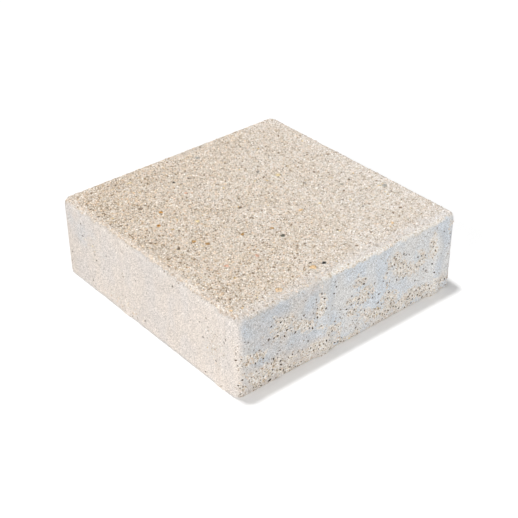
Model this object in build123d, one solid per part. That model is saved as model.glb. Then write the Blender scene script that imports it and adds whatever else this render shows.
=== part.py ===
from build123d import *
import os

# A square concrete paving stone, lying on its bed, with spacer nibs on its four sides.
# Units are millimetres. The origin is the middle of the bed, with +Z up.
# The side facing -Y is the front, and each of the other sides is the front turned by a quarter.

# Body
body_side = 197.0
thickness = 62.0
corner_radius = 6.0
top_arris_radius = 4.0
bed_arris_radius = 1.2

# Spacer nibs, each a rounded upright rib that fades into the side a little below the top
nib_projection = 2.0
nib_width = 14.0
nib_root_radius = 2.5
nib_top_gap = 7.0
nib_fade_height = 5.0

# Places of the two nibs of a side, seen from outside that side
far_nib_from_left = 73.5
near_nib_from_right = 18.0


def nib_section():
    """Section of a nib from above, on a side plane at Y = 0: a shallow arch with hollow roots."""
    arch_radius = (nib_width**2 / 4 + nib_projection**2) / (2 * nib_projection)
    wall_depth = 2 * nib_projection
    wall = Pos(0, wall_depth / 2) * Rectangle(nib_width + 4 * nib_root_radius, wall_depth)
    arch = Pos(0, arch_radius - nib_projection) * Circle(arch_radius)
    section = wall + arch
    roots = section.vertices().sort_by(lambda corner: abs(abs(corner.X) - nib_width / 2))[:2]
    return fillet(roots, nib_root_radius)


def nib_elevation():
    """A nib from its side, X pointing into the stone: full up to the fade, then sloped back to the side."""
    nib_top = thickness - nib_top_gap
    inside = body_side / 4
    outline = Polyline(
        (inside, 0),
        (-nib_projection, 0),
        (-nib_projection, nib_top - nib_fade_height),
        (0, nib_top),
        (inside, nib_top),
        close=True,
    )
    return make_face(outline)


def make_nib():
    """One nib on a side plane at Y = 0: its section, drawn up, and kept where its elevation is."""
    rib = extrude(nib_section(), thickness)
    side_view = Plane.YZ * nib_elevation()
    return rib & extrude(side_view, nib_width, both=True)


def make_block():
    """The cast block: a square with rounded corners, and a worn round arris around its top."""
    block = extrude(RectangleRounded(body_side, body_side, corner_radius), thickness)
    return fillet(block.faces().sort_by(Axis.Z)[-1].edges(), top_arris_radius)


def add_nibs(block):
    """The same two nibs on each side, so that stones laid side by side never meet nib to nib."""
    nib = make_nib()
    far_nib = Pos(far_nib_from_left - body_side / 2, -body_side / 2) * nib
    near_nib = Pos(body_side / 2 - near_nib_from_right, -body_side / 2) * nib
    for quarter in range(4):
        block += Rot(0, 0, 90 * quarter) * far_nib
        block += Rot(0, 0, 90 * quarter) * near_nib
    return block


def round_bed(stone):
    """The small arris around the bed runs along the sides and over the nibs' feet."""
    return fillet(stone.faces().sort_by(Axis.Z)[0].edges(), bed_arris_radius)


os.makedirs("parts", exist_ok=True)
paving_stone = round_bed(add_nibs(make_block()))
export_step(paving_stone, "parts/paving_stone.step")
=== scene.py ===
import bpy
import random
import numpy as np
from math import cos, hypot, pi, radians, sin
from mathutils import Euler, Matrix, Quaternion, Vector, noise
from mathutils.bvhtree import BVHTree
from mathutils.kdtree import KDTree


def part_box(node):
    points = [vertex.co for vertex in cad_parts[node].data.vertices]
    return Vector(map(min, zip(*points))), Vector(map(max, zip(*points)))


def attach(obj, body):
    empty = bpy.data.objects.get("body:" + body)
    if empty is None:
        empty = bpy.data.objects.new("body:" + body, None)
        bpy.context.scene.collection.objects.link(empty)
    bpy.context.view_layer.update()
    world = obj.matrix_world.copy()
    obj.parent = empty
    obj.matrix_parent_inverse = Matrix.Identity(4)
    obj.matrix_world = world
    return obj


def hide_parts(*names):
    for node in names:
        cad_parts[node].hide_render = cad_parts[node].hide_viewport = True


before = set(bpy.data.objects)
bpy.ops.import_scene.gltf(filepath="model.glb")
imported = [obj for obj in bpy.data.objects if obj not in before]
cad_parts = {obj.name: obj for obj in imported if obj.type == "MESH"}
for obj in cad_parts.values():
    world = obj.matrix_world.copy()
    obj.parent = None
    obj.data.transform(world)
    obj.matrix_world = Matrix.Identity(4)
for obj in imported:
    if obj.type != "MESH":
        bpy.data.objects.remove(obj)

# A concrete paving stone with a blasted top, in metres. The stone lies on its bed at Z = 0.
# Its sides are numbered 0 front (-Y), 1 right (+X), 2 back (+Y) and 3 left (-X).
# A place on a side is its distance from the side's left end, seen from outside, and its height.

MM = 0.001
_, high_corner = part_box("paving_stone")
nib_projection = 2 * MM
half = high_corner.x - nib_projection
height = high_corner.z
corner_radius = 6 * MM
arris_radius = 4 * MM
side_length = 2 * half / MM  # of the body without its nibs, in mm
body_voxel = 1.25 * MM
bed_finish = (0.55, 0.3, 0.0, 0.4)  # as mark_finishes gives it: open, cool, blasted, dull
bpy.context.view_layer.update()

# Where the mould skin is missing: place, height, half length, half height (mm), and the slope of the patch
bare_patches = {
    0: [
        (54, 33, 16, 6, -0.35), (13, 28, 12, 6, 0), (27, 10, 28, 8, 0), (69, 9, 22, 7, 0),
        (106, 32, 15, 6, -0.1), (138, 46, 10, 7, -0.3), (147, 36, 18, 8, -0.3), (163, 36, 7, 8, 0),
        (111, 16, 18, 5, -0.35), (134, 16, 10, 10, -0.3), (156, 9, 40, 7, 0), (187, 50, 6, 8, 0),
        (104, 45, 8, 5, 0), (79, 19, 8, 6, -0.3), (36, 41, 12, 8, 0), (69.5, 42, 4, 15, 0),
        (174.5, 42, 4, 13, 0),
    ],
    1: [(30, 9, 34, 8, 0), (88, 14, 26, 9, -0.1), (150, 10, 44, 8, 0), (60, 36, 14, 7, 0.3),
        (122, 40, 12, 8, -0.3), (172, 33, 13, 9, 0)],
    2: [(40, 7, 30, 5, 0), (140, 9, 34, 6, 0), (96, 30, 12, 6, -0.3)],
    3: [(175, 30, 16, 16, 0), (70, 8, 26, 5, 0), (36, 38, 12, 7, -0.2)],
}
patch_strength = (1.0, 1.0, 0.7, 0.45)

# The middles of the front nibs, in mm from the side's left end
front_nibs = (73.5, 179)

# How readily the foot of each side has crumbled, and how far its nibs are worn down, in mm
foot_wear = (0.06, 0.06, 0.0, -0.12)
nib_wear = (0.45, 0.5, 0.8, 1.6)

# The larger open pores of the two sides in view: place, height and radius, in mm
open_pores = {
    0: [
        (25.3, 36.3, 1.0), (0.9, 30.9, 0.8), (47.7, 31.0, 0.9), (60.7, 31.1, 0.8), (62.7, 27.0, 0.9),
        (58.8, 18.7, 0.8), (32.3, 21.7, 0.7), (80.3, 16.3, 1.1), (102.1, 8.4, 1.0), (119.7, 2.8, 0.8),
        (128.0, 3.1, 0.7), (156.2, 3.5, 0.9), (26.2, 3.2, 1.2), (43.5, 5.1, 0.8), (87.3, 30.2, 0.6),
        (87.0, 24.1, 0.7), (117.1, 28.9, 0.6), (133.1, 23.0, 1.0), (145.0, 49.1, 0.8), (137.9, 47.9, 0.8),
        (129.9, 40.1, 0.8), (144.0, 42.7, 0.6), (139.5, 30.7, 0.8), (169.0, 25.0, 0.8), (63.1, 38.9, 0.6),
        (45.1, 41.4, 0.6), (45.6, 14.4, 0.8), (110.1, 18.9, 0.8), (119.7, 11.8, 0.8), (135.7, 12.5, 0.9),
        (162.6, 35.6, 0.7), (184.3, 51.5, 0.7), (192.0, 43.4, 0.6), (18.5, 27.9, 0.6), (11.4, 13.1, 0.6),
        (71.6, 10.5, 0.7), (172.8, 11.2, 0.7), (104.3, 44.6, 0.6), (150.4, 46.6, 0.6), (8.2, 27.3, 0.6),
    ],
    1: [],
    2: [],
    3: [
        (40.6, 27.9, 0.7), (162.3, 30.9, 0.8), (159.4, 41.2, 0.7), (8.2, 19.6, 0.7), (33.8, 7.7, 0.7),
        (88.9, 36.0, 0.6), (131.6, 54.0, 0.8), (184.0, 39.1, 0.7), (23.6, 50.4, 0.6), (174.7, 40.1, 0.6),
    ],
}

# Stones of another colour in the blasted face: kind, X, Y and radius, in mm
marked_stones = [
    ("black", -14.6, -84.6, 1.2), ("black", -20.8, -78.6, 0.8), ("orange", -23.8, -84.5, 2.3),
    ("amber", -67.8, 21.5, 1.4), ("amber", -56.6, 35.8, 1.4), ("ochre", -62.6, -10.0, 1.2),
    ("ochre", -32.5, -23.1, 1.3), ("ochre", -57.5, -17.6, 1.3), ("red", -64.7, -46.6, 1.3),
    ("red", -41.3, -49.8, 1.2), ("yellow", 39.5, 23.0, 2.2), ("orange", 18.6, -24.9, 1.3),
    ("slate", -12.9, -42.5, 1.3), ("grey", 10.0, 80.8, 1.5), ("grey", 31.5, 35.4, 1.6),
    ("black", -25.2, 62.6, 1.0), ("brown", -11.7, 4.1, 1.0), ("black", -75.7, -10.0, 0.9),
    ("brown", -65.1, 48.3, 1.2), ("brown", 73.2, -68.4, 0.9), ("grey", 65.1, -17.9, 1.3),
    ("brown", -42.4, -67.8, 0.9), ("yellow", -50.5, 83.4, 2.0), ("orange", -93.3, -86.8, 0.9),
    ("orange", -56.9, -89.4, 2.0), ("orange", 54.6, -79.5, 1.2), ("red", -27.5, 45.4, 1.3),
    ("yellow", -45.7, 9.5, 1.6), ("ochre", -11.7, -30.5, 1.1), ("grey", 86.4, -39.8, 1.6),
]

stone_colours = {
    "cream": (0.89, 0.828, 0.768),
    "white": (0.91, 0.86, 0.80),
    "beige": (0.825, 0.75, 0.675),
    "pink": (0.86, 0.76, 0.67),
    "grey": (0.42, 0.40, 0.36),
    "ochre": (0.52, 0.31, 0.11),
    "yellow": (0.86, 0.70, 0.42),
    "brown": (0.28, 0.21, 0.15),
    "red": (0.76, 0.46, 0.33),
    "orange": (0.82, 0.58, 0.33),
    "amber": (0.66, 0.33, 0.07),
    "black": (0.012, 0.011, 0.010),
    "slate": (0.13, 0.13, 0.10),
}
common_stones = [
    ("cream", 52), ("white", 14), ("beige", 23), ("pink", 9), ("yellow", 0.5), ("grey", 0.2), ("brown", 0.6),
]
# How many shapes of grain there are for large, middling and small grains
shape_counts = (6, 5, 4)


def select_only(thing):
    bpy.ops.object.select_all(action="DESELECT")
    thing.select_set(True)
    bpy.context.view_layer.objects.active = thing


def apply_modifiers(thing):
    select_only(thing)
    for modifier in list(thing.modifiers):
        bpy.ops.object.modifier_apply(modifier=modifier.name)


def smooth_step(low, high, value):
    share = min(max((value - low) / (high - low), 0.0), 1.0)
    return share * share * (3 - 2 * share)


# Places on the stone

def side_of(x, y):
    """The side nearest a point of the sides, and the point's place along it in mm."""
    if abs(y) > abs(x):
        return (0, (x + half) / MM) if y < 0 else (2, (half - x) / MM)
    return (1, (y + half) / MM) if x > 0 else (3, (half - y) / MM)


def point_on_side(side, place, level):
    """A point on a side's plane and the direction out of it, from a place and a height in mm."""
    along = place * MM - half
    x, y, outward = (
        (along, -half, (0, -1, 0)), (half, along, (1, 0, 0)),
        (-along, half, (0, 1, 0)), (-half, -along, (-1, 0, 0)),
    )[side]
    return Vector((x, y, level * MM)), Vector(outward)


def inset_from_edge(x, y):
    """How far inside the rounded square outline a point is, in plan."""
    corner_x = abs(x) - (half - corner_radius)
    corner_y = abs(y) - (half - corner_radius)
    if corner_x > 0 and corner_y > 0:
        return corner_radius - hypot(corner_x, corner_y)
    return half - max(abs(x), abs(y))


def blasted_edge(x, y):
    """How far inside the outline the blasting starts beside a point of the rim, in mm."""
    side, place = side_of(x, y)
    edge = (2.4, 2.0, 1.8, 1.5)[side] + 1.1 * noise.noise(Vector((place / 6, 0.5, side * 9.0)))
    edge += 2.2 * (1 - smooth_step(3, 16, hypot(x + half, y + half) / MM))
    if side == 0:
        edge += 2.5 * (1 - smooth_step(3, 8, abs(place - 90)))
    return edge


def nib_shade(side, place):
    """1 on the flank of a front nib that is turned away from the left; painted shade goes there, as whole,
    bluer skin.
    """
    if side:
        return 0.0
    return max(
        smooth_step(middle + 1, middle + 4, place) * (1 - smooth_step(middle + 8, middle + 12, place))
        for middle in front_nibs
    )


def bareness(side, place, level):
    """0 where the side kept its mould skin and 1 where it is open and sandy."""
    # Painted shade: the shaded flank of each front nib keeps its whole, bluer skin
    shade = nib_shade(side, place)
    found = -0.9 * shade
    for centre, middle, half_length, half_height, slope in bare_patches[side]:
        across = (place - centre) / half_length
        up = (level - middle - slope * (place - centre)) / half_height
        found = max(found, 1.3 - 0.8 * hypot(across, up) - 1.2 * shade * smooth_step(20, 34, level))
    if side < 2:
        found = max(found, 1.0 - level / 12)
    spot = Vector((place / 7, level / 7, side * 7.3))
    cloud = noise.fractal(spot, 1.0, 2.1, 3)
    fine = noise.noise(Vector((place / 2.2, level / 2.2, side * 3.1)))
    return smooth_step(0.25, 0.95, found + 0.55 * cloud + 0.25 * fine) * patch_strength[side]


# The cast body

def remeshed_casting():
    """The casting's mesh, divided evenly and finely enough to weather."""
    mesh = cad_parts["paving_stone"].data.copy()
    mesh.name = "stone_body"
    mesh.materials.clear()
    stone = bpy.data.objects.new("stone_body", mesh)
    bpy.context.collection.objects.link(stone)
    select_only(stone)
    bpy.ops.object.mode_set(mode="EDIT")
    bpy.ops.mesh.select_all(action="SELECT")
    bpy.ops.mesh.remove_doubles(threshold=1e-6)
    bpy.ops.object.mode_set(mode="OBJECT")
    remesh = stone.modifiers.new("remesh", "REMESH")
    remesh.mode = "VOXEL"
    remesh.voxel_size = body_voxel
    apply_modifiers(stone)
    return stone


def scatter_hollows():
    """Places where a grain is missing from the top: (x, y, radius) in mm from its left front corner."""
    dice = random.Random(5)
    missing = []
    for x, y, radius in sow(dice, side_length, side_length, [(0.7, 0.95, 350), (0.5, 0.75, 2400)], 1.7):
        share = 0.03 + 0.14 * brownness(x - half / MM, y - half / MM)
        if dice.random() < share and inset_from_edge(x * MM - half, y * MM - half) > 3 * MM:
            missing.append((x, y, radius))
    return missing


def gap_at(x, y):
    """0 where mortar still fills the space between the grains and 1 where it is blown out; x and y in mm."""
    fill = noise.noise(Vector((x / 1.8, y / 1.8, 11))) + 0.12 * noise.noise(Vector((x / 7, y / 7, 21)))
    return smooth_step(-0.25, 0.45, fill)


def wear_at(point, normal, hollow):
    """How far the weathered surface lies below the mould's surface at a point."""
    x, y, z = point / MM
    rough = noise.noise(Vector((x / 2.6, y / 2.6, z / 2.6)))
    sand = noise.noise(Vector((x / 1.3 + 9, y / 1.3, z / 1.3)))
    broad = noise.noise(Vector((x / 26, y / 26, z / 26 + 5)))
    upward = smooth_step(0.55, 0.98, normal.z)
    side, place = side_of(point.x, point.y)
    open_part = bareness(side, place, z)
    skin = 0.05 + 0.05 * broad + 0.03 * rough + 0.03 * sand
    bare = 0.50 + 0.25 * rough + 0.2 * sand
    on_side = skin * (1 - open_part) + bare * open_part
    on_side += nib_wear[side] * smooth_step(0.0, 1.5, max(abs(x), abs(y)) - half / MM)
    on_top = 0.42 + 0.34 * gap_at(x, y) + 0.8 * hollow
    arris = smooth_step(0.1, 0.4, normal.z) * (1 - upward)
    chip = noise.fractal(Vector((x / 5, y / 5, z / 5 + 40)), 1.0, 2.0, 3)
    depth = on_side * (1 - upward) + on_top * upward
    depth += arris * (0.15 + 0.7 * max(chip - 0.05, 0))
    foot = (1 - smooth_step(0, 5, z)) * (1 - upward)
    crumble = max(noise.fractal(Vector((x / 8, y / 8, 60)), 1.0, 2.0, 3) + foot_wear[side], 0)
    depth += foot * (0.1 + 1.3 * crumble)
    return depth * MM


def hollow_at(point):
    """1 in the middle of the nearest hollow and 0 outside it."""
    if point.z < height - 3 * MM:
        return 0.0
    _, index, distance = hollow_tree.find((point.x, point.y, 0))
    return max(1 - (distance / MM / (hollows[index][2] * 1.5)) ** 2, 0.0)


def weather(stone):
    """Moves the surface inwards: rough mortar on top, open patches and crumbled feet on the sides."""
    mesh = stone.data
    places = [vertex.co.copy() for vertex in mesh.vertices]
    normals = [vertex.vector.copy() for vertex in mesh.vertex_normals]
    worn = []
    depths = [hollow_at(place) for place in places]
    gaps = [gap_at(place.x / MM, place.y / MM) for place in places]
    for place, normal, hollow in zip(places, normals, depths):
        if normal.z > -0.9:
            place = place - normal * wear_at(place, normal, hollow)
        worn += (place.x, place.y, min(max(place.z, 0.0), height))
    mesh.vertices.foreach_set("co", worn)
    # Painted shade: how dark the hollows and the open gaps between grains are painted
    hollow_shade = [min(0.26 * gap + 1.4 * depth, 1) for gap, depth in zip(gaps, depths)]
    mesh.attributes.new("hollow", "FLOAT", "POINT").data.foreach_set("value", hollow_shade)
    mesh.update()


def thin_the_bed(stone):
    """The flat bed needs few faces."""
    select_only(stone)
    for polygon in stone.data.polygons:
        centre = polygon.center
        polygon.select = centre.z < 0.2 * MM and inset_from_edge(centre.x, centre.y) > 5 * MM
    bpy.ops.object.mode_set(mode="EDIT")
    bpy.ops.mesh.select_mode(type="FACE")
    bpy.ops.mesh.decimate(ratio=0.04)
    bpy.ops.mesh.select_all(action="DESELECT")
    bpy.ops.object.mode_set(mode="OBJECT")


# Grains and pores

def grain_shape(name, subdivisions, unevenness, flats, seed, base, faces):
    """A grain of radius 1, with some broken flats, cut off where the mortar hides it."""
    bpy.ops.object.select_all(action="DESELECT")
    bpy.ops.mesh.primitive_ico_sphere_add(subdivisions=subdivisions, radius=1)
    shape = bpy.context.object
    shape.name = name
    dice = random.Random(seed)

    def cut(point, facing, **away):
        bpy.ops.mesh.select_all(action="SELECT")
        bpy.ops.mesh.bisect(plane_co=point, plane_no=facing, use_fill=True, **away)

    bpy.ops.object.mode_set(mode="EDIT")
    bpy.ops.mesh.select_all(action="SELECT")
    bpy.ops.transform.vertex_random(offset=unevenness, uniform=1, normal=0, seed=seed)
    for _ in range(flats):
        facing = Vector((dice.uniform(-1, 1), dice.uniform(-1, 1), dice.uniform(0.1, 0.9))).normalized()
        cut(facing * dice.uniform(0.62, 0.8), facing, clear_outer=True)
    if base is not None:
        cut((0, 0, base), (0, 0, 1), clear_inner=True)
    bpy.ops.mesh.select_all(action="SELECT")
    bpy.ops.mesh.quads_convert_to_tris()
    bpy.ops.object.mode_set(mode="OBJECT")
    thin = shape.modifiers.new("thin", "DECIMATE")
    thin.ratio = min(1.0, faces / len(shape.data.polygons))
    apply_modifiers(shape)
    reach = max(hypot(vertex.co.x, vertex.co.y) for vertex in shape.data.vertices)
    top = max(vertex.co.z for vertex in shape.data.vertices)
    shape.data.transform(Matrix.Diagonal((1.1 / reach, 1.1 / reach, 1 / top, 1)))
    # 1 on the grain's lower flank, which the finish darkens as clinging mortar and painted shade
    flank = shape.data.attributes.new("flank", "FLOAT", "POINT")
    flank.data.foreach_set("value", [1 - smooth_step(0, 0.7, vertex.co.z) for vertex in shape.data.vertices])
    bpy.ops.object.shade_smooth_by_angle(angle=radians(38))
    return shape


def shape_set(name, shapes):
    """The shapes in a collection of their own, out of the scene."""
    collection = bpy.data.collections.new(name)
    for shape in shapes:
        for other in list(shape.users_collection):
            other.objects.unlink(shape)
        collection.objects.link(shape)
    return collection


def setting_tree(collection):
    """Geometry nodes that put a shape on every point, turned and sized as the point says."""
    tree = bpy.data.node_groups.new("set_" + collection.name, "GeometryNodeTree")
    tree.interface.new_socket("Geometry", in_out="INPUT", socket_type="NodeSocketGeometry")
    tree.interface.new_socket("Geometry", in_out="OUTPUT", socket_type="NodeSocketGeometry")
    start = tree.nodes.new("NodeGroupInput")
    end = tree.nodes.new("NodeGroupOutput")
    shapes = tree.nodes.new("GeometryNodeCollectionInfo")
    shapes.inputs["Collection"].default_value = collection
    shapes.inputs["Separate Children"].default_value = True
    shapes.inputs["Reset Children"].default_value = True
    place = tree.nodes.new("GeometryNodeInstanceOnPoints")
    place.inputs["Pick Instance"].default_value = True
    realize = tree.nodes.new("GeometryNodeRealizeInstances")
    turn = tree.nodes.new("FunctionNodeEulerToRotation")
    for name, kind, socket in (
        ("shape", "INT", place.inputs["Instance Index"]),
        ("size", "FLOAT_VECTOR", place.inputs["Scale"]),
        ("turn", "FLOAT_VECTOR", turn.inputs["Euler"]),
    ):
        reader = tree.nodes.new("GeometryNodeInputNamedAttribute")
        reader.data_type = kind
        reader.inputs["Name"].default_value = name
        put(reader.outputs["Attribute"], socket)
    put(turn.outputs["Rotation"], place.inputs["Rotation"])
    put(start.outputs["Geometry"], place.inputs["Points"])
    put(shapes.outputs["Instances"], place.inputs["Instance"])
    put(place.outputs["Instances"], realize.inputs["Geometry"])
    put(realize.outputs["Geometry"], end.inputs["Geometry"])
    return tree


def set_shapes(name, grains, tree):
    """One joined mesh of the grains, each given as (centre, turn, size, shape, colour, side)."""
    mesh = bpy.data.meshes.new(name)
    mesh.from_pydata([grain[0] for grain in grains], [], [])
    for label, kind, column, field in (
        ("turn", "FLOAT_VECTOR", 1, "vector"),
        ("size", "FLOAT_VECTOR", 2, "vector"),
        ("shape", "INT", 3, "value"),
        ("stone_colour", "FLOAT_COLOR", 4, "color"),
        ("side", "INT", 5, "value"),
    ):
        attribute = mesh.attributes.new(label, kind, "POINT")
        number = np.int32 if kind == "INT" else np.float32
        attribute.data.foreach_set(field, np.array([grain[column] for grain in grains], dtype=number).ravel())
    piece = bpy.data.objects.new(name, mesh)
    bpy.context.collection.objects.link(piece)
    piece.modifiers.new("set", "NODES").node_group = tree
    apply_modifiers(piece)
    for label in ("turn", "size", "shape"):
        if label in piece.data.attributes:
            piece.data.attributes.remove(piece.data.attributes[label])
    return piece


def keep_below_top(piece):
    """Wears the grains off level with the top, which leaves the walking face flat."""
    for vertex in piece.data.vertices:
        vertex.co.z = min(vertex.co.z, height)


def sow(dice, width, depth, sorts, room, taken=()):
    """Discs over a rectangle, largest first, that keep clear of each other: (x, y, radius) in mm."""
    cell = 4.0
    grid = {}
    discs = []

    def add(x, y, radius):
        grid.setdefault((int(x // cell), int(y // cell)), []).append((x, y, radius))

    def is_free(x, y, radius):
        column, row = int(x // cell), int(y // cell)
        for i in (column - 1, column, column + 1):
            for j in (row - 1, row, row + 1):
                for other_x, other_y, other_radius in grid.get((i, j), ()):
                    reach = (radius + other_radius) * room
                    if (x - other_x) ** 2 + (y - other_y) ** 2 < reach * reach:
                        return False
        return True

    for x, y, radius in taken:
        add(x, y, radius)
    for smallest, largest, tries in sorts:
        for _ in range(tries):
            radius = dice.uniform(smallest, largest)
            x, y = dice.uniform(0, width), dice.uniform(0, depth)
            if is_free(x, y, radius):
                add(x, y, radius)
                discs.append((x, y, radius))
    return discs


def pick_shape(dice, radius):
    """The number of a shape, one with fewer faces for a smaller grain."""
    sort = 0 if radius > 0.9 else 1 if radius > 0.7 else 2
    return sum(shape_counts[:sort]) + dice.randrange(shape_counts[sort])


def tilted(dice, outward, most):
    """A turn that stands a grain's own Z along outward, spun and leaned at random, as Euler angles."""
    lean = Euler((dice.uniform(-most, most), dice.uniform(-most, most), 0)).to_quaternion()
    spin = Quaternion((0, 0, 1), dice.uniform(0, 2 * pi))
    return tuple((outward.to_track_quat("Z", "Y") @ lean @ spin).to_euler())


def stone_colour(dice, kind, brown):
    """A stone's colour, a little different each time; its last number is how dark its flanks are painted, as
    clinging mortar and painted shade.
    """
    shade = dice.uniform(0.94, 1.03)
    warmth = dice.uniform(-0.02, 0.02)
    red, green, blue = stone_colours[kind]
    return (
        min(red * shade * (1 - 0.05 * brown), 0.95),
        min(green * shade * (1 - warmth) * (1 - 0.09 * brown), 0.93),
        min(blue * shade * (1 - 2 * warmth) * (1 - 0.15 * brown), 0.92),
        dice.uniform(0.1, 0.5) + 0.15 * brown,
    )


def brownness(x, y):
    """The blasted face is browner towards its back left corner; x and y in mm."""
    drift = 0.5 - (x - y * 0.45) / 230
    return min(max(drift + 0.35 * noise.noise(Vector((x / 30, y / 30, 3))), 0), 1)


def pick_kind(dice):
    kinds, weights = zip(*common_stones)
    return dice.choices(kinds, weights)[0]


def top_grains(surface):
    """The grains that the blasting laid bare, over the whole top and its arris."""
    dice = random.Random(11)
    straight_up = Vector((0, 0, 1))
    marked = [(x + half / MM, y + half / MM, radius) for _, x, y, radius in marked_stones]
    sorts = [(1.2, 1.6, 150), (1.0, 1.2, 1500), (0.75, 1.0, 20000), (0.5, 0.75, 80000)]
    taken = [(x, y, 1.7 * radius) for x, y, radius in marked] + hollows
    discs = sow(dice, side_length, side_length, sorts, 0.8, taken)
    stones = [(x, y, radius, None) for x, y, radius in discs]
    stones += [(x, y, radius, kind) for (x, y, radius), (kind, _, _, _) in zip(marked, marked_stones)]
    grains = []
    for x, y, radius, kind in stones:
        at_x, at_y = x * MM - half, y * MM - half
        inset = inset_from_edge(at_x, at_y)
        if inset < 0.3 * MM:
            continue
        on_arris = 1 - smooth_step(0.5, 4.5, inset / MM)
        fade = blasted_edge(at_x, at_y) + dice.uniform(-0.3, 1.4)
        if kind is None and (inset / MM < fade or radius > 1.7 - 0.9 * on_arris):
            continue
        hit = surface.ray_cast(Vector((at_x, at_y, height + 10 * MM)), Vector((0, 0, -1)))[0]
        if hit is None:
            continue
        normal = straight_up
        if inset < arris_radius:
            edge = 1 - inset / arris_radius
            by_x, by_y = abs(at_x) > abs(at_y) - 4 * MM, abs(at_y) > abs(at_x) - 4 * MM
            outward = Vector((at_x * by_x, at_y * by_y, 0)).normalized()
            normal = (outward * edge + straight_up * (1 - edge * edge) ** 0.5).normalized()
        wide = radius * MM * (0.9 if kind is None else 1.45)
        long = wide * (dice.uniform(1.0, 2.0) if kind is None else dice.uniform(1.0, 1.15))
        tall = wide * (dice.uniform(0.5, 0.78) if kind is None else 0.38)
        proud = tall * (dice.uniform(-0.35, 0.3) if kind is None else 0.3) - on_arris * 0.6 * tall
        centre = hit + normal * proud
        gap = height - (0.02 + dice.uniform(0, 0.3)) * MM - (centre.z + tall)
        if inset >= arris_radius and gap < 0:
            centre.z += gap
        brown = brownness(at_x / MM, at_y / MM)
        colour = stone_colour(dice, kind or pick_kind(dice), 0 if kind else brown)
        turn = tilted(dice, normal, 0.4)
        grains.append((centre, turn, (long, wide, tall), pick_shape(dice, radius), colour, 4))
    return grains


def cluster(place, level, side):
    """Where the open patches are loosest, from 0 to 1."""
    return smooth_step(-0.25, 0.3, noise.noise(Vector((place / 8, level / 6, side * 4.7))))


def meet_side(surface, side, place, level):
    """Where the weathered surface lies at a place on a side: there, on the side's plane, and the way out."""
    start, outward = point_on_side(side, place, level)
    return surface.ray_cast(start + outward * 10 * MM, -outward)[0], start, outward


def side_stones(surface):
    """Sand grains that stand in the open patches of the sides, and the cutters of the pores between them."""
    dice = random.Random(23)
    grains, pores = [], []
    side_height = height / MM
    for side in range(4):
        found = [(place, level, 0.92 * radius) for place, level, radius in open_pores[side]]
        few = (1.0, 1.0, 0.4, 0.25)[side]
        pore_sorts = [(0.62, 0.88, int(900 * few)), (0.45, 0.62, int(3000 * few))]
        for x, z, radius in sow(dice, side_length, side_height, pore_sorts, 1.9, found):
            open_part = bareness(side, x, z) ** 1.3 * (0.35 + 0.65 * cluster(x, z, side))
            if dice.random() < 0.06 * few + open_part and 1.5 < x < side_length - 1.5 and 1.6 < z < 55:
                found.append((x, z, radius))
        sorts = [(0.85, 1.05, 300), (0.65, 0.85, 2500), (0.45, 0.65, 5500)]
        taken = [(x, z, radius * 1.15) for x, z, radius in found]
        sand = sow(dice, side_length, side_height, sorts, 0.95, taken)
        for x, z, radius in found:
            hit, _, outward = meet_side(surface, side, x, z)
            if hit is None:
                continue
            wide = radius * MM
            size = (wide * dice.uniform(0.85, 1.4), wide * 0.8, wide * dice.uniform(1.0, 1.6))
            pores.append((hit, tilted(dice, outward, 0.2), size, dice.randrange(3), (0, 0, 0, 1), side))
        for x, z, radius in sand:
            open_part = bareness(side, x, z)
            if open_part < 0.25 or dice.random() > 0.85 * open_part:
                continue
            hit, start, outward = meet_side(surface, side, x, z)
            if hit is None or not 2 < x < side_length - 2 or not 1.5 < z < 58:
                continue
            wide, tall = radius * MM, radius * MM * dice.uniform(0.6, 0.85)
            room_left = max((hit - start).dot(-outward), 0)
            proud = min(tall * dice.uniform(-0.4, 0.3), room_left + 0.1 * MM - tall)
            colour = stone_colour(dice, pick_kind(dice), 0.25)
            turn = tilted(dice, outward, 0.2)
            size = (wide * dice.uniform(0.95, 1.3), wide, tall)
            grains.append((hit + outward * proud, turn, size, pick_shape(dice, radius * 0.9), colour, side))
    return grains, pores


def cut_pores(stone, pores, tree, materials):
    """Cuts the pores out of the body; their walls take the pore finish, painted dark as shade."""
    cutters = set_shapes("pore_cutters", pores, tree)
    cutters.data.materials.clear()
    stone.data.materials.clear()
    for material in materials:
        cutters.data.materials.append(material)
        stone.data.materials.append(material)
    cutters.data.polygons.foreach_set("material_index", [1] * len(cutters.data.polygons))
    cut = stone.modifiers.new("pores", "BOOLEAN")
    cut.operation = "DIFFERENCE"
    cut.solver = "MANIFOLD"
    cut.object = cutters
    apply_modifiers(stone)
    bpy.data.objects.remove(cutters)


# Maps and masks that the finishes read

def read(things, field, kind=float, width=1):
    """A field of a mesh's vertices, loops or faces, as an array."""
    values = np.empty(len(things) * width, dtype=kind)
    things.foreach_get(field, values)
    return values.reshape(-1, width) if width > 1 else values


def map_body(stone):
    """Unfolds the body for its textures: top and bed below, the four sides in two rows above them."""
    mesh = stone.data
    span = 2 * half + 2 * nib_projection + 2 * MM
    sheet = 2 * span
    centres = read(mesh.polygons, "center", width=3)
    zones = np.stack([
        half + centres[:, 1], half - centres[:, 0], half - centres[:, 1], half + centres[:, 0],
        height - centres[:, 2], centres[:, 2],
    ]).argmin(axis=0)
    zone = np.repeat(zones, read(mesh.polygons, "loop_total", np.int32))
    x, y, z = read(mesh.vertices, "co", width=3)[read(mesh.loops, "vertex_index", np.int32)].T
    middle = span / 2
    row = height + 3 * MM
    across = np.choose(zone, [x, y, -x, -y, x, x]) + middle + np.choose(zone, [0, span, 0, span, 0, span])
    up = np.choose(zone, [z + span, z + span, z + span + row, z + span + row, y + middle, y + middle])
    layer = mesh.uv_layers.new(name="OFBake")
    layer.data.foreach_set("uv", (np.stack([across, up], axis=1) / sheet).ravel())
    layer.active = layer.active_render = True


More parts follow.
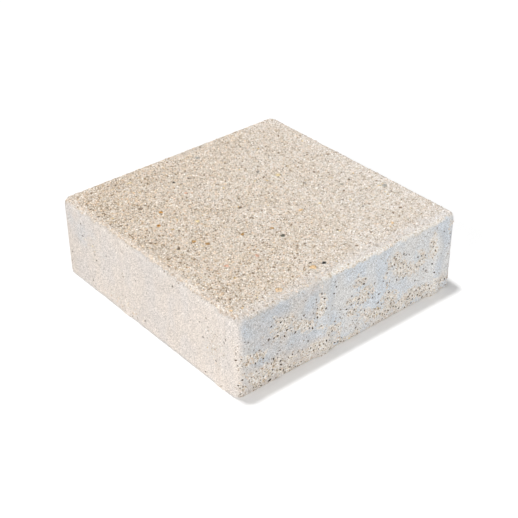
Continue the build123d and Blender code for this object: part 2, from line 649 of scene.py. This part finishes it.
def map_grains(piece):
    """Unfolds grains straight down or straight in from their side; hidden undersides share a corner."""
    mesh = piece.data
    loops = read(mesh.loops, "vertex_index", np.int32)
    normals = read(mesh.polygons, "normal", width=3)
    out_x, out_y, out_z = np.repeat(normals, read(mesh.polygons, "loop_total", np.int32), axis=0).T
    side = read(mesh.attributes["side"].data, "value", np.int32)[loops]
    x, y, z = read(mesh.vertices, "co", width=3)[loops].T
    outward = np.choose(side, [-out_y, out_x, out_y, -out_x, out_z])
    across = np.choose(side, [x, y, -x, -y, x]) + half
    if side[0] == 4:
        up = y + half
        sheet = 2 * half
    else:
        up = z + side * (height + 2 * MM)
        sheet = 4 * (height + 2 * MM)
    place = np.stack([across, up], axis=1) / sheet * 0.99
    hidden = outward < 0.02
    place[hidden] = 0.995 + 0.004 * (place[hidden] % 1)
    layer = mesh.uv_layers.new(name="OFBake")
    layer.data.foreach_set("uv", place.clip(0, 1).ravel())
    mesh.attributes.remove(mesh.attributes["side"])


def mark_finishes(stone):
    """Red: open patches. Green: cool mould skin, painted shade on nib flanks too. Blue: blasted face.

    Alpha: brown mortar on top, dull skin on the sides, with painted shade on the left face's front corner.
    """
    mesh = stone.data
    attribute = mesh.attributes.new("finish", "FLOAT_COLOR", "POINT")
    values = []
    for vertex in mesh.vertices:
        x, y, z = vertex.co
        side, place = side_of(x, y)
        level = z / MM
        above = smooth_step(height - 3 * MM, height - 1.5 * MM, z)
        cool = (1.0, 0.85, 0.35, 0.0)[side]
        if side == 0:
            cool *= 0.58 + 0.42 * smooth_step(62, 84, place)
        cool *= 0.6 + 0.4 * smooth_step(8, 24, level)
        if side == 3:
            cool = 0.38 * smooth_step(15, 40, level) * (1 - smooth_step(30, 100, place))
        cloud = noise.noise(Vector((place / 14, level / 10, side * 5.0)))
        cool *= smooth_step(-3, 7, min(place, side_length - place + 5))
        # Painted shade: the flank of each front nib that faces away from the light gets the bluer, darker
        # cool skin
        cool = max(cool, 1.05 * nib_shade(side, place) * smooth_step(14, 26, level))
        inset = inset_from_edge(x, y) / MM
        edge = blasted_edge(x, y)
        blasted = above * smooth_step(edge, edge + 1.2, inset)
        dull = (1 - smooth_step(45, 95, place), 0.2, 0.3, 0.45 * (1 - smooth_step(110, 185, place)))[side]
        if side == 3:
            dull += 0.3 * (1 - smooth_step(0, 60, place)) + 0.25 * (1 - smooth_step(10, 34, level))
            # Painted shade: the rounded front corner of the left face is painted darker, against the light
            # that it catches
            dull += 0.4 * smooth_step(188, 195, place)
        tone = brownness(x / MM, y / MM) if level > height / MM - 2.5 else dull
        if level < 0.4 and inset > 1.5:
            values += bed_finish
        else:
            values += (bareness(side, place, level), min(max(cool + 0.4 * cloud * cool, 0), 1), blasted, tone)
    attribute.data.foreach_set("color", values)


# Finishes

def tree_of(*values):
    """The node tree of the first socket among the values."""
    return next(value.id_data for value in values if isinstance(value, bpy.types.NodeSocket))


def put(value, socket):
    """Links a socket or sets a value; a colour is three numbers, or four."""
    if isinstance(value, bpy.types.NodeSocket):
        value.id_data.links.new(value, socket)
    elif socket.type == "RGBA":
        socket.default_value = (*value[:3], 1)
    else:
        socket.default_value = value


def node(tree, kind, group=None, **inputs):
    """A shader node whose inputs are values to set or sockets to link."""
    made = tree.nodes.new("ShaderNode" + kind)
    if group:
        made.node_tree = group
    for name, value in inputs.items():
        put(value, made.inputs[name.replace("_", " ")])
    return made


def fed(tree, kind, *values, **settings):
    """The first output of a node whose first inputs are the values, in their order."""
    made = tree.nodes.new("ShaderNode" + kind)
    for name, setting in settings.items():
        setattr(made, name, setting)
    for value, socket in zip(values, made.inputs):
        put(value, socket)
    return made.outputs[0]


def worked(operation, *values):
    return fed(tree_of(*values), "Math", *values, operation=operation)


def times(first, second):
    return worked("MULTIPLY", first, second)


def plus(first, second):
    return worked("ADD", first, second)


def swing(cloud, reach):
    """Noise around 0.5 made to swing around 0."""
    return times(worked("SUBTRACT", cloud, 0.5), reach)


def mixed(share, first, second, way="MIX"):
    """The colour between two colours."""
    made = tree_of(share, first, second).nodes.new("ShaderNodeMix")
    made.data_type = "RGBA"
    made.blend_type = way
    for value, label in ((share, "Factor"), (first, 6), (second, 7)):
        put(value, made.inputs[label])
    return made.outputs[2]


def tinted(colour, tint):
    return mixed(1.0, colour, tint, "MULTIPLY")


def shaded(colour, shade, green_power=None, blue_power=None):
    """A colour made darker or lighter; powers above 1 turn the darker parts brown."""
    green, blue = (worked("POWER", shade, power) if power else shade for power in (green_power, blue_power))
    spread = node(shade.id_data, "CombineColor", Red=shade, Green=green, Blue=blue)
    return tinted(colour, spread.outputs["Color"])


def ranged(value, low, high, to_low=0.0, to_high=1.0, way="SMOOTHSTEP"):
    made = value.id_data.nodes.new("ShaderNodeMapRange")
    made.interpolation_type = way
    labels = ("Value", "From Min", "From Max", "To Min", "To Max")
    for label, number in zip(labels, (value, low, high, to_low, to_high)):
        put(number, made.inputs[label])
    return made.outputs["Result"]


def object_place(tree):
    return node(tree, "TexCoord").outputs["Object"]


def attribute(tree, name):
    reader = node(tree, "Attribute")
    reader.attribute_name = name
    return reader.outputs


def split(colour):
    return node(colour.id_data, "SeparateColor", Color=colour).outputs


def clouds_at(place, scale, detail, roughness=0.5, distortion=0.0):
    """Soft noise around 0.5."""
    settings = {"Scale": scale, "Detail": detail, "Roughness": roughness, "Distortion": distortion}
    return node(place.id_data, "TexNoise", Vector=place, **settings).outputs["Fac"]


def effect(name, inputs, outputs):
    """A shader group: its tree, the values that it is given and the ones that it hands back."""
    tree = bpy.data.node_groups.new(name, "ShaderNodeTree")
    for label, value in inputs.items():
        kind = "NodeSocketColor" if isinstance(value, tuple) else "NodeSocketFloat"
        tree.interface.new_socket(label, in_out="INPUT", socket_type=kind).default_value = value
    for label in outputs:
        kind = "NodeSocketColor" if label == "Color" else "NodeSocketFloat"
        tree.interface.new_socket(label, in_out="OUTPUT", socket_type=kind)
    return tree, tree.nodes.new("NodeGroupInput").outputs, tree.nodes.new("NodeGroupOutput").inputs


def placed(tree, group, **inputs):
    return node(tree, "Group", group, **inputs).outputs


def speckled(speckle, colour, strength, specks_per_metre):
    grit = placed(colour.id_data, speckle, Strength=strength, Specks_per_Metre=specks_per_metre)
    return tinted(colour, grit["Color"])


def lay_out(tree):
    """Stands every node in a column to the left of the nodes that it feeds."""
    columns = {made.name: 0 for made in tree.nodes}
    for _ in range(len(columns)):
        for link in tree.links:
            left = link.from_node.name
            columns[left] = max(columns[left], columns[link.to_node.name] + 1)
    rows = {}
    for name, column in columns.items():
        row = rows[column] = rows.get(column, -1) + 1
        tree.nodes[name].location = (-240 * column, -330 * row)


def make_sand_effect():
    """Fine sand in mortar: a colour made of three sand colours, and the height of the grains."""
    tree, given, result = effect("sand", {
        "Mortar": (0.6, 0.5, 0.4, 1),
        "Light Sand": (0.8, 0.7, 0.6, 1),
        "Dark Sand": (0.4, 0.3, 0.2, 1),
        "Grains per Metre": 1000.0,
        "Dark Share": 0.1,
    }, ["Color", "Height"])
    place = object_place(tree)
    cells = node(tree, "TexVoronoi", Vector=place, Scale=given["Grains per Metre"]).outputs
    edges = ranged(cells["Distance"], 0.15, 0.6, 1.0, 0.0)
    chosen = split(cells["Color"])
    light = ranged(chosen["Red"], 0.45, 0.6)
    dark = ranged(plus(chosen["Green"], given["Dark Share"]), 0.97, 1.03)
    dusty = clouds_at(place, 1300.0, 3.0, 0.7)
    colour = mixed(times(light, edges), given["Mortar"], given["Light Sand"])
    colour = mixed(times(dark, edges), colour, given["Dark Sand"])
    put(shaded(colour, ranged(dusty, 0.3, 0.7, 0.78, 1.14, "LINEAR")), result["Color"])
    put(plus(times(edges, 0.7), times(dusty, 0.5)), result["Height"])
    return tree


def make_skin_effect():
    """Cement skin left by the mould: cloudy and gritty, flecked with pale sand and small dark pinholes."""
    tree, given, result = effect("mould_skin", {
        "Pale": (0.6, 0.6, 0.6, 1),
        "Deep": (0.5, 0.5, 0.5, 1),
        "Sand": (0.7, 0.6, 0.5, 1),
        "Sand Amount": 0.4,
        "Grit": 0.1,
        "Pinholes": 0.5,
    }, ["Color", "Height"])
    place = object_place(tree)
    streaks = node(tree, "Mapping", Vector=place, Scale=(1, 1, 0.5)).outputs["Vector"]
    colour = mixed(ranged(clouds_at(streaks, 60.0, 1.5), 0.38, 0.64), given["Pale"], given["Deep"])
    amount = ranged(clouds_at(place, 110.0, 3.0), 0.35, 0.62, 0.25, 1.0)
    cells = node(tree, "TexVoronoi", Vector=place, Scale=850.0).outputs
    chosen = split(cells["Color"])
    spot = times(ranged(cells["Distance"], 0.2, 0.5, 1.0, 0.0), amount)
    light = times(ranged(chosen["Green"], 0.55, 0.7), spot)
    dark = times(ranged(chosen["Red"], 0.84, 0.91), spot)
    colour = mixed(times(light, given["Sand Amount"]), colour, given["Sand"])
    colour = mixed(times(dark, given["Pinholes"]), colour, (0.34, 0.24, 0.15))
    grit = clouds_at(place, 1700.0, 1.0, 0.8)
    shade = plus(swing(grit, given["Grit"]), 1.0)
    put(shaded(colour, shade, 1.03, 1.07), result["Color"])
    put(worked("SUBTRACT", plus(times(light, 0.5), grit), dark), result["Height"])
    return tree


def make_speckle_effect():
    """Fine mottling over grains and mortar alike, as a colour to multiply by.

    It is made of dark brown specks and thin crevices, both painted shade of small pits and cracks between the
    grains, and of rust stains, more of them towards the back left corner.
    """
    tree, given, result = effect("speckle", {"Strength": 1.0, "Specks per Metre": 800.0}, ["Color"])
    place = object_place(tree)
    axes = node(tree, "SeparateXYZ", Vector=place).outputs
    drift = worked("MULTIPLY_ADD", axes["Y"], 1.9, worked("MULTIPLY_ADD", axes["X"], -4.3, 0.5))
    drift.node.use_clamp = True
    specks = clouds_at(place, given["Specks per Metre"], 2.0, 0.6, 0.9)
    strength = times(given["Strength"], ranged(drift, 0.0, 1.0, 0.92, 1.3, "LINEAR"))
    wander = clouds_at(place, 420.0, 1.0).node.outputs["Color"]
    bent = fed(tree, "VectorMath", wander, (3 * MM, 3 * MM, 3 * MM), place, operation="MULTIPLY_ADD")
    chip = split(node(tree, "TexVoronoi", Vector=bent, Scale=1300.0).outputs["Color"])
    # Dark brown specks: painted shade of small pits
    mottle = plus(worked("SUBTRACT", specks, 0.5), ranged(chip["Red"], 0.06, 0.20, -0.27, 0.0))
    nets = node(tree, "TexVoronoi", Vector=bent, Scale=430.0)
    nets.feature = "DISTANCE_TO_EDGE"
    broken = clouds_at(place, 300.0, 2.0)
    # Painted shade along thin crevices
    crevice_shade = times(ranged(nets.outputs["Distance"], 0.03, 0.12, 0.25, 0.0), ranged(broken, 0.36, 0.74))
    shade = worked("SUBTRACT", plus(times(mottle, strength), 1.07), crevice_shade)
    rust = clouds_at(place, 380.0, 3.0, 0.65)
    rusting = ranged(drift, 0.0, 1.0, 0.25, 0.9, "LINEAR")
    tint = mixed(times(ranged(rust, 0.54, 0.66), rusting), (1, 1, 1), (1.0, 0.90, 0.73))
    tint = mixed(times(ranged(chip["Green"], 0.90, 0.94), rusting), tint, (1.0, 0.79, 0.58))
    tint = mixed(ranged(chip["Red"], 0.06, 0.20, 0.8, 0.0), tint, (1.0, 0.945, 0.86))
    put(shaded(tint, shade, 1.15, 1.4), result["Color"])
    return tree


def make_rim_dust_effect():
    """Pale cement dust on the blasted face along its left and front edges: its colour and its amount."""
    tree, _, result = effect("rim_dust", {}, ["Color", "Amount"])
    axes = node(tree, "SeparateXYZ", Vector=object_place(tree)).outputs

    def band(axis, most, begins, ends):
        """The dust beside one edge; it begins and ends between two distances from the edge, in mm."""
        thinning = ranged(axis, ends[0] * MM - half, ends[1] * MM - half, most, 0.0)
        return times(thinning, ranged(axis, begins[0] * MM - half, begins[1] * MM - half))

    left = band(axes["X"], 0.27, (1.7, 2.7), (3.8, 6.8))
    front = band(axes["Y"], 0.25, (1.9, 3.2), (4, 16))
    put(mixed(times(left, 3.7), (0.76, 0.76, 0.79), (0.93, 0.86, 0.81)), result["Color"])
    put(worked("MAXIMUM", left, front), result["Amount"])
    return tree


def new_finish(name, roughness, specular=0.25):
    material = bpy.data.materials.new(name)
    material.use_nodes = True
    shader = material.node_tree.nodes["Principled BSDF"]
    put(roughness, shader.inputs["Roughness"])
    put(specular, shader.inputs["Specular IOR Level"])
    return material, material.node_tree, shader


def complete(shader, colour, level, strength, depth):
    """Gives a finish its colour and its bumps."""
    bump = node(shader.id_data, "Bump", Strength=strength, Distance=depth, Height=level)
    put(colour, shader.inputs["Base Color"])
    put(bump.outputs["Normal"], shader.inputs["Normal"])
    lay_out(shader.id_data)


def cast_concrete(sand, skin, speckle, rim_dust):
    """The body: blasted mortar on top, cool or warm mould skin on the sides, and sandy open patches."""
    material, tree, shader = new_finish("cast_concrete", 0.9)
    masks = attribute(tree, "finish")
    mask = split(masks["Color"])
    open_part, cool, blasted, brown = mask["Red"], mask["Green"], mask["Blue"], masks["Alpha"]
    place = object_place(tree)
    level_here = node(tree, "SeparateXYZ", Vector=place).outputs["Z"]
    ragged = swing(clouds_at(place, 800.0, 2.0, 0.6), 3.0)

    # The sides
    cool_skin = placed(
        tree, skin, Pale=(0.78, 0.77, 0.755), Deep=(0.715, 0.75, 0.79), Sand=(0.98, 0.91, 0.80),
        Sand_Amount=0.42, Grit=2.1, Pinholes=ranged(level_here, 0.0, 44 * MM, 2.4, 0.8, "LINEAR"),
    )
    warm_skin = placed(
        tree, skin, Pale=(0.845, 0.762, 0.69), Deep=(0.81, 0.745, 0.695), Sand=(0.95, 0.89, 0.82),
        Sand_Amount=0.7, Grit=2.1, Pinholes=1.35,
    )
    loose_sand = placed(
        tree, sand, Mortar=(0.90, 0.85, 0.785), Light_Sand=(1.0, 0.94, 0.85), Dark_Sand=(0.30, 0.18, 0.09),
        Grains_per_Metre=800.0, Dark_Share=0.14,
    )
    cool_share = ranged(plus(cool, times(ragged, 0.1)), 0.25, 0.75)
    side_skin = mixed(cool_share, warm_skin["Color"], cool_skin["Color"])
    # On the sides the alpha darkens the skin; on the left face's front corner that is painted shade
    side_skin = mixed(brown, side_skin, (0.885, 0.885, 0.885), "MULTIPLY")
    bare = ranged(plus(open_part, times(ragged, 0.8)), 0.35, 1.0)
    colour = mixed(bare, side_skin, speckled(speckle, loose_sand["Color"], 1.5, 1200.0))
    # Painted light: the cool sides are made paler towards the foot, against the shade that falls there
    painted_light_foot = shaded(colour, ranged(level_here, 0.0, 14 * MM, 1.08, 1.0, "LINEAR"))
    colour = mixed(cool, colour, painted_light_foot)

    # The upper arris: a darker band of painted shade, against the extra light that the rounded arris catches,
    # and above it the smooth rim
    wavering = plus(level_here, times(ragged, 0.6 * MM))
    wavering = plus(wavering, swing(clouds_at(place, 130.0, 2.0), 6 * MM))
    painted_shade_band = ranged(wavering, height - 4.4 * MM, height - 1.8 * MM)
    # Painted shade under the rim
    colour = mixed(painted_shade_band, colour, (0.84, 0.845, 0.85), "MULTIPLY")
    warm_rim = ranged(wavering, height - 1.7 * MM, height - 0.9 * MM)
    cool_rim = ranged(wavering, height - 3.6 * MM, height - 1.9 * MM)
    rim = node(tree, "Mix", Factor=cool, A=warm_rim, B=cool_rim).outputs["Result"]
    rim_colour = mixed(cool, (0.61, 0.53, 0.46), (0.785, 0.738, 0.68))
    colour = mixed(rim, colour, speckled(speckle, rim_colour, 1.5, 1200.0))

    # The top: pale or brown mortar, painted shade in its hollows and open gaps, and dust at its edges
    top_pale, top_brown = (
        placed(tree, sand, Mortar=mortar, Light_Sand=light, Dark_Sand=dark, Grains_per_Metre=900.0)["Color"]
        for mortar, light, dark in (
            ((0.79, 0.725, 0.65), (0.89, 0.83, 0.76), (0.42, 0.33, 0.24)),
            ((0.70, 0.60, 0.49), (0.84, 0.76, 0.66), (0.33, 0.24, 0.16)),
        )
    )
    painted_hollow_shade = ranged(attribute(tree, "hollow")["Fac"], 0.15, 0.85)
    # Painted shade: the hollows and open gaps are painted dark brown
    top_colour = mixed(painted_hollow_shade, mixed(brown, top_pale, top_brown), (0.30, 0.22, 0.14))
    top_colour = speckled(speckle, top_colour, 1.95, 1500.0)
    dust = placed(tree, rim_dust)
    top_colour = mixed(dust["Amount"], top_colour, dust["Color"])
    on_top = ranged(plus(blasted, times(ragged, 0.35)), 0.25, 0.75)
    colour = mixed(on_top, colour, top_colour)

    rough_share = worked("MAXIMUM", bare, on_top)
    skin_level = times(warm_skin["Height"], 0.35)
    level = node(tree, "Mix", Factor=rough_share, A=skin_level, B=loose_sand["Height"]).outputs["Result"]
    complete(shader, colour, level, 0.9, 0.3 * MM)
    return material


def shaded_pore_wall(sand):
    """The inside of a pore: very dark mortar, painted shade that deepens the hollow."""
    material, tree, shader = new_finish("shaded_pore_wall", 0.95)
    wall = placed(
        tree, sand, Mortar=(0.17, 0.125, 0.08), Light_Sand=(0.26, 0.19, 0.13), Dark_Sand=(0.08, 0.06, 0.04),
        Grains_per_Metre=1500.0,
    )
    complete(shader, wall["Color"], wall["Height"], 0.6, 0.2 * MM)
    return material


def bare_aggregate(speckle, rim_dust):
    """A grain: its own stone colour, mottled, dusted with cement, and darker where it meets the mortar, as
    clinging mortar and painted shade.
    """
    material, tree, shader = new_finish("bare_aggregate", 0.75)
    stone = attribute(tree, "stone_colour")
    place = object_place(tree)
    grain = clouds_at(place, 1500.0, 2.0, 0.75)
    colour = shaded(stone["Color"], ranged(grain, 0.3, 0.7, 0.78, 1.12, "LINEAR"))
    dust = ranged(clouds_at(place, 420.0, 3.0, 0.7), 0.5, 0.75, 0.0, 0.35)
    colour = mixed(times(dust, split(stone["Color"])["Red"]), colour, (0.78, 0.70, 0.61))
    # Clinging mortar and painted shade on the lower flanks of each grain
    mortar_and_shade = times(attribute(tree, "flank")["Fac"], stone["Alpha"])
    colour = mixed(mortar_and_shade, colour, (0.50, 0.39, 0.29))
    colour = speckled(speckle, colour, 1.95, 1500.0)
    edge_dust = placed(tree, rim_dust)
    colour = mixed(edge_dust["Amount"], colour, edge_dust["Color"])
    complete(shader, colour, grain, 0.6, 0.15 * MM)
    return material


# Studio

def direction(azimuth, elevation):
    """The way out from the stone's middle; azimuth 0 is straight in front. Both are in radians."""
    return Vector((sin(azimuth) * cos(elevation), -cos(azimuth) * cos(elevation), sin(elevation)))


def place_camera():
    """The photograph's viewpoint: over the stone's front left corner, looking down on it."""
    azimuth, elevation, roll = radians(-39.86), radians(33.45), radians(-0.45)
    distance, aim_right, aim_up = 0.8505, 0.00126, 0.01324
    back = direction(azimuth, elevation)
    level_right = Vector((cos(azimuth), sin(azimuth), 0))
    level_up = back.cross(level_right)
    aim = level_right * aim_right + level_up * aim_up
    right = level_right * cos(roll) + level_up * sin(roll)
    up = level_up * cos(roll) - level_right * sin(roll)
    bpy.ops.object.camera_add()
    camera = bpy.context.object
    camera.name = "camera"
    turn = Matrix((right, up, back)).transposed().to_4x4()
    camera.matrix_world = Matrix.Translation(aim + back * distance) @ turn
    camera.data.sensor_width = 36
    camera.data.lens = 81.17
    camera.data.clip_start = 0.01
    bpy.context.scene.camera = camera


def seen_plainly(tree):
    """1 for rays that end in the camera, also by way of a mirror or glass, and 0 for light on the stone."""
    rays = node(tree, "LightPath").outputs
    bent = worked("MAXIMUM", rays["Is Glossy Ray"], rays["Is Transmission Ray"])
    return worked("MAXIMUM", rays["Is Camera Ray"], bent)


def lay_floor():
    """A pale floor. Seen by the camera it is white, and the stone's shadow stays on it."""
    bpy.ops.object.select_all(action="DESELECT")
    bpy.ops.mesh.primitive_plane_add(size=3)
    floor = bpy.context.object
    floor.name = "floor"
    material, tree, shader = new_finish("studio_floor", 1.0, 0.0)
    put((0.75, 0.75, 0.75), shader.inputs["Base Color"])
    matt = node(tree, "BsdfDiffuse", Color=(0.98, 0.98, 0.98)).outputs[0]
    glow = node(tree, "Emission", Color=(1, 1, 1), Strength=0.13).outputs[0]
    white = fed(tree, "AddShader", matt, glow)
    shown = fed(tree, "MixShader", seen_plainly(tree), shader.outputs[0], white)
    put(shown, tree.nodes["Material Output"].inputs["Surface"])
    lay_out(tree)
    floor.data.materials.append(material)


def soft_lamp(name, azimuth, elevation, size, level):
    """A square lamp that gives a level white surface the brightness level; its angles are in degrees."""
    distance = 4
    toward = direction(radians(azimuth), radians(elevation))
    data = bpy.data.lights.new(name, "AREA")
    data.shape = "SQUARE"
    data.size = size
    data.energy = level * pi * pi * distance * distance / sin(radians(elevation))
    lamp = bpy.data.objects.new(name, data)
    bpy.context.collection.objects.link(lamp)
    lamp.location = toward * distance
    lamp.rotation_euler = toward.to_track_quat("Z", "Y").to_euler()
    lamp.visible_camera = False


def light_studio():
    world = bpy.data.worlds.new("studio")
    bpy.context.scene.world = world
    world.use_nodes = True
    tree = world.node_tree
    background = tree.nodes["Background"]
    put((1, 1, 1), background.inputs["Color"])
    put(ranged(seen_plainly(tree), 0, 1, 0.2, 1.0, "LINEAR"), background.inputs["Strength"])
    lay_out(tree)
    soft_lamp("overhead", 200, 82, 0.38, 0.62)
    soft_lamp("front_left", -72, 36, 0.6, 0.06)
    soft_lamp("far_left", -92, 11, 1.3, 0.062)
    soft_lamp("front_fill", -12, 11, 1.3, 0.066)


# The scene

place_camera()
lay_floor()
light_studio()

sand = make_sand_effect()
skin = make_skin_effect()
speckle = make_speckle_effect()
rim_dust = make_rim_dust_effect()
for tree in (sand, skin, speckle, rim_dust):
    lay_out(tree)
concrete = cast_concrete(sand, skin, speckle, rim_dust)
pore = shaded_pore_wall(sand)
aggregate = bare_aggregate(speckle, rim_dust)

hollows = scatter_hollows()
hollow_tree = KDTree(len(hollows))
for index, (x, y, radius) in enumerate(hollows):
    hollow_tree.insert((x * MM - half, y * MM - half, 0), index)
hollow_tree.balance()

stone = remeshed_casting()
weather(stone)
surface = BVHTree.FromObject(stone, bpy.context.evaluated_depsgraph_get())

large, middling, small = shape_counts
shapes = [grain_shape(f"grain_a{i}", 2, 0.15, i % 4, i + 1, -0.35, 46) for i in range(large)]
shapes += [grain_shape(f"grain_b{i}", 2, 0.17, i % 3, i + 11, -0.35, 30) for i in range(middling)]
shapes += [grain_shape(f"grain_c{i}", 1, 0.16, i % 2, i + 21, -0.4, 19) for i in range(small)]
for shape in shapes:
    shape.data.materials.append(aggregate)
grain_tree = setting_tree(shape_set("grains", shapes))
holes = [grain_shape(f"hole_{i}", 2, 0.16, 0, i + 31, None, 60) for i in range(3)]
hole_tree = setting_tree(shape_set("holes", holes))

on_top = top_grains(surface)
on_sides, pores = side_stones(surface)
thin_the_bed(stone)
cut_pores(stone, pores, hole_tree, [concrete, pore])
mark_finishes(stone)
map_body(stone)
select_only(stone)
bpy.ops.object.shade_smooth_by_angle(angle=radians(50))
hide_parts("paving_stone")
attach(stone, "root")

batches = [(f"top_grains_{i + 1}", on_top[i::4]) for i in range(4)] + [("side_grains", on_sides)]
for name, grains in batches:
    piece = set_shapes(name, grains, grain_tree)
    keep_below_top(piece)
    map_grains(piece)
    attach(piece, "root")
for shape in shapes + holes:
    bpy.data.objects.remove(shape)

bpy.context.scene.view_settings.view_transform = "Standard"
